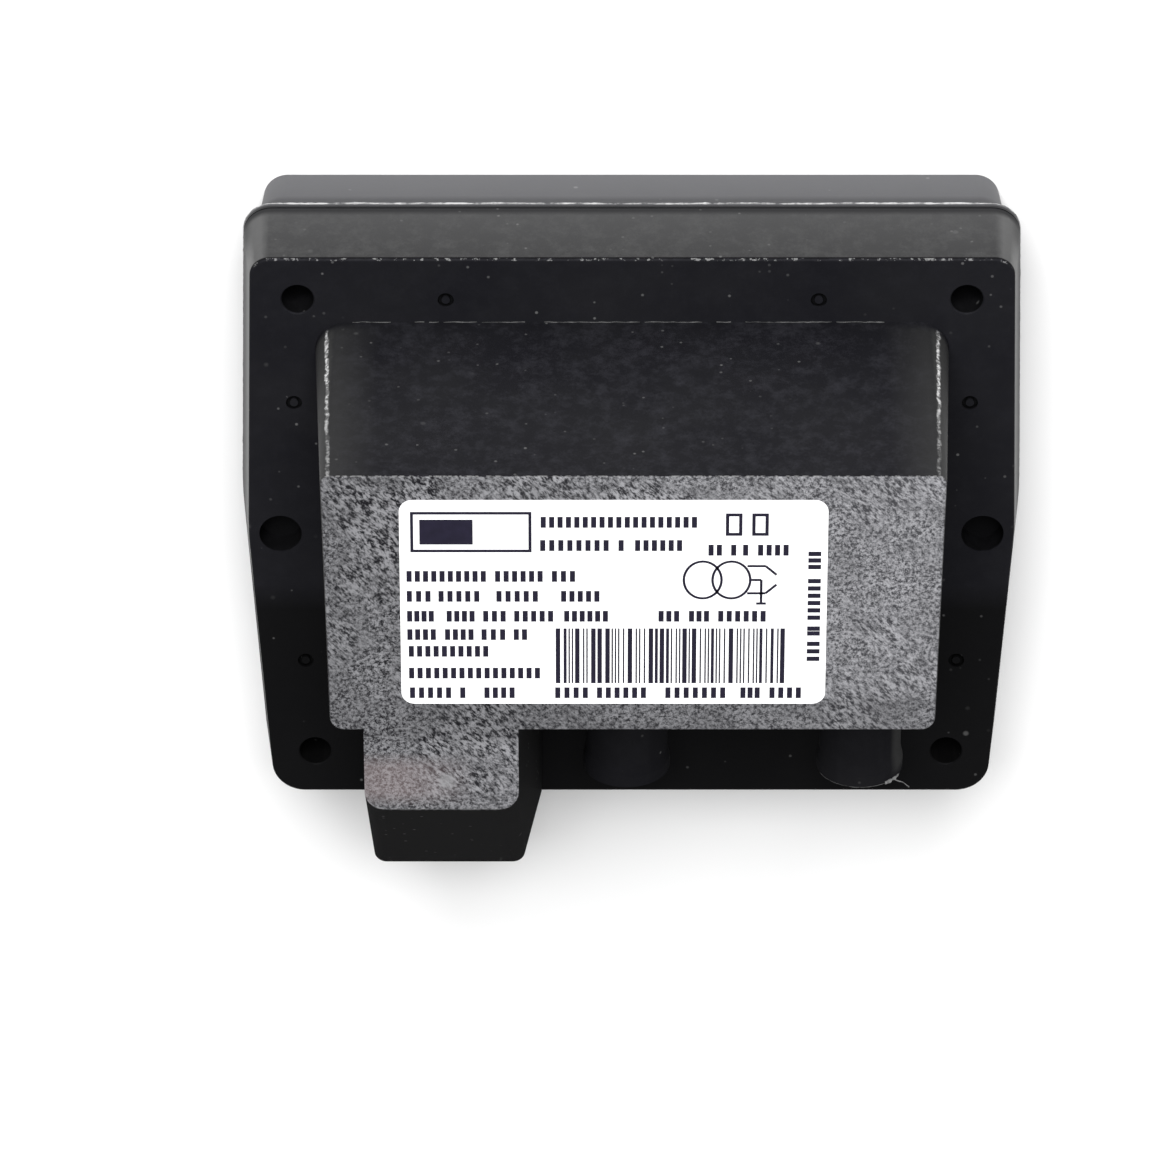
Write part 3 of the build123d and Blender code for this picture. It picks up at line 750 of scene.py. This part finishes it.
def oval(form, u, v, half_width, half_height, sides=40):
    """A printed oval line, in millimetres from the label's centre."""
    turns = [2 * math.pi * k / sides for k in range(sides)]
    line = LINE_WIDTH / MM
    loops = []
    for inset, above in ((line, 0), (0, 0), (0, PRINT_THICK), (line, PRINT_THICK)):
        corners = [
            (
                (u + (half_width - inset) * math.cos(turn)) * MM,
                (v + (half_height - inset) * math.sin(turn)) * MM,
            )
            for turn in turns
        ]
        loops.append(print_ring(form, corners, above))
    skin(form, list(zip(loops, loops[1:] + loops[:1])))


def cells(start, end):
    """Where the cells of a word begin, from its ends in millimetres."""
    length = abs(end - start) * MM
    count = max(1, round((length + LETTER_PITCH - LETTER_WIDTH) / LETTER_PITCH))
    pitch = (length - LETTER_WIDTH) / max(1, count - 1)
    return [i * pitch for i in range(count)]


def words(form, height, spans):
    """Words as rows of plain cells: spans are their ends in millimetres along the row."""
    half = LETTER_HEIGHT / 2
    for start, end in spans:
        for offset in cells(start, end):
            u = start * MM + offset
            slab(form, u, height * MM - half, u + LETTER_WIDTH, height * MM + half)


def words_down(form, across, spans):
    """The same, read downwards."""
    half = LETTER_HEIGHT / 2
    for start, end in spans:
        for offset in cells(start, end):
            v = start * MM - offset
            slab(form, across * MM - half, v - LETTER_WIDTH, across * MM + half, v)


def box_line(form, low, high, line):
    """A printed rectangle's outline."""
    slab(form, low.x, low.y, high.x, low.y + line)
    slab(form, low.x, high.y - line, high.x, high.y)
    slab(form, low.x, low.y + line, low.x + line, high.y - line)
    slab(form, high.x - line, low.y + line, high.x, high.y - line)


def print_words(form):
    """The label's lines of words, as rows of cells."""
    words(form, 15.7, ((-11.9, 13.6),))
    words(form, 11.2, ((-12.0, -0.8), (0.8, 2.1), (3.5, 11.2)))
    words(form, 10.3, ((15.5, 17.7), (19.2, 22.0), (23.6, 28.6)))
    words(form, 5.2, ((-33.9, -20.9), (-19.4, -11.6), (-10.1, -6.3)))
    words(form, 1.3, ((-33.9, -30.0), (-28.7, -22.0), (-19.2, -12.4), (-8.6, -2.3)))
    words(
        form, -2.6, ((-33.9, -29.5), (-27.4, -22.8), (-21.4, -17.7), (-16.3, -9.9), (-8.1, -0.9))
    )
    words(form, -2.6, ((7.4, 10.8), (12.4, 15.7), (17.2, 25.0)))
    words(form, -6.2, ((-33.9, -29.2), (-27.7, -23.0), (-21.7, -17.8), (-16.4, -14.2)))
    words(form, -9.5, ((-33.7, -20.6),))
    words(form, -13.8, ((-33.7, -12.1),))
    words(form, -17.7, ((-33.6, -26.8), (-25.3, -24.1), (-21.3, -16.3)))
    words(form, -17.7, ((-9.6, -4.2), (-2.7, 5.4), (8.6, 18.5), (21.0, 24.2), (25.8, 31.0)))
    words_down(form, 32.9, ((10.0, 6.6), (4.7, -3.3), (-4.6, -6.4), (-7.6, -11.4)))


def print_frames(form):
    """A framed dark field at the upper left, and two small frames at the upper right."""
    low = Vector((-33.2, 9.9)) * MM
    high = Vector((-13.4, 17.7)) * MM
    inset = 3 * FRAME_LINE
    box_line(form, low, high, FRAME_LINE)
    slab(form, low.x + inset, low.y + inset, -23 * MM, high.y - inset)
    for start in (18.3, 22.6):
        box_line(form, Vector((start, 13.1)) * MM, Vector((start + 2.7, 17.4)) * MM, BOX_LINE)


def print_diagram(form):
    """Two linked ovals with a few lines beside them."""
    oval(form, 14.6, 4.5, 3.3, 3.8)
    oval(form, 19.3, 4.5, 3.3, 3.8)
    for rail, slant in ((7.2, -1.7), (1.9, 1.7)):
        stroke(form, 21.9, rail, 24.9, rail)
        stroke(form, 24.9, rail, 26.7, rail + slant)
    stroke(form, 22.6, 4.5, 24.2, 4.5)
    stroke(form, 24.2, 4.5, 24.2, 0.1)
    stroke(form, 23.4, -0.1, 25.0, -0.1)


def print_bars(form):
    """A row of bars that says nothing: widths and gaps are drawn by chance."""
    chance = random.Random(BARS_SEED)
    u = BAR_START
    while u < BAR_END:
        width = chance.choice(BAR_WIDTHS) * MM
        slab(form, u, BAR_MIDDLE - BAR_HALF, u + width, BAR_MIDDLE + BAR_HALF)
        u += width + chance.choice(BAR_GAPS) * MM


def label_print(material):
    """Generic print: cells for words, frames, two ovals, a few lines and plain bars."""
    form = bmesh.new()
    print_words(form)
    print_frames(form)
    print_diagram(form)
    print_bars(form)
    make_piece("label_print", to_mesh("label_print", form), material)


def make_camera():
    """The camera that took the photograph."""
    data = bpy.data.cameras.new("photo_camera")
    data.sensor_width = SENSOR
    data.lens = SENSOR * FOCAL_PIXELS / IMAGE_SIDE
    data.clip_start, data.clip_end = CLIP_START, CLIP_END
    camera = bpy.data.objects.new("photo_camera", data)
    lean = Vector((0, math.sin(VIEW_LEAN), math.cos(VIEW_LEAN)))
    camera.location = VIEW_TARGET + lean * VIEW_DISTANCE
    camera.rotation_euler = (-VIEW_LEAN, 0, 0)
    bpy.context.scene.collection.objects.link(camera)
    bpy.context.scene.camera = camera


def make_floor():
    """A plain pale floor just under the part's back."""
    look = Look("floor")
    look.colour(FLOOR_COLOUR)
    look.rough(0.9)
    look.specular(0.1)
    form = bmesh.new()
    half = FLOOR_SIDE / 2
    corners = ((-half, -half), (half, -half), (half, half), (-half, half))
    form.faces.new([form.verts.new((x, y, -FLOOR_DROP)) for x, y in corners])
    floor = bpy.data.objects.new("floor", to_mesh("floor", form))
    floor.data.materials.append(look.material)
    bpy.context.scene.collection.objects.link(floor)


def make_light(name, place, side, power):
    """A square lamp aimed at the part."""
    data = bpy.data.lights.new(name, "AREA")
    data.shape = "SQUARE"
    data.size = side
    data.energy = power
    light = bpy.data.objects.new(name, data)
    light.location = place
    light.rotation_euler = (LIGHT_AIM - Vector(place)).to_track_quat("-Z", "Y").to_euler()
    bpy.context.scene.collection.objects.link(light)


def make_light_rig():
    """Soft studio light: a pale world, a key from above the label's top, and three fills."""
    bpy.context.scene.view_settings.view_transform = "Standard"
    world = bpy.data.worlds.new("studio")
    world.use_nodes = True
    background = world.node_tree.nodes["Background"]
    background.inputs["Color"].default_value = (1, 1, 1, 1)
    background.inputs["Strength"].default_value = WORLD_STRENGTH
    bpy.context.scene.world = world
    for name, (place, side, power) in LIGHTS.items():
        make_light(name, place, side, power)


make_camera()
make_floor()
make_light_rig()
dress_nodes()
parting_burr(flash_look("parting_flash", 0.06, 0.38))
faint_flash = flash_look("faint_flash", 0.02, 0.08)
block_crease(faint_flash)
mouth_rim(faint_flash)
mouth_flash(flash_look("torn_flash", 0.03, 0.2))
label_print(ink_look())

bpy.context.view_layer.update()
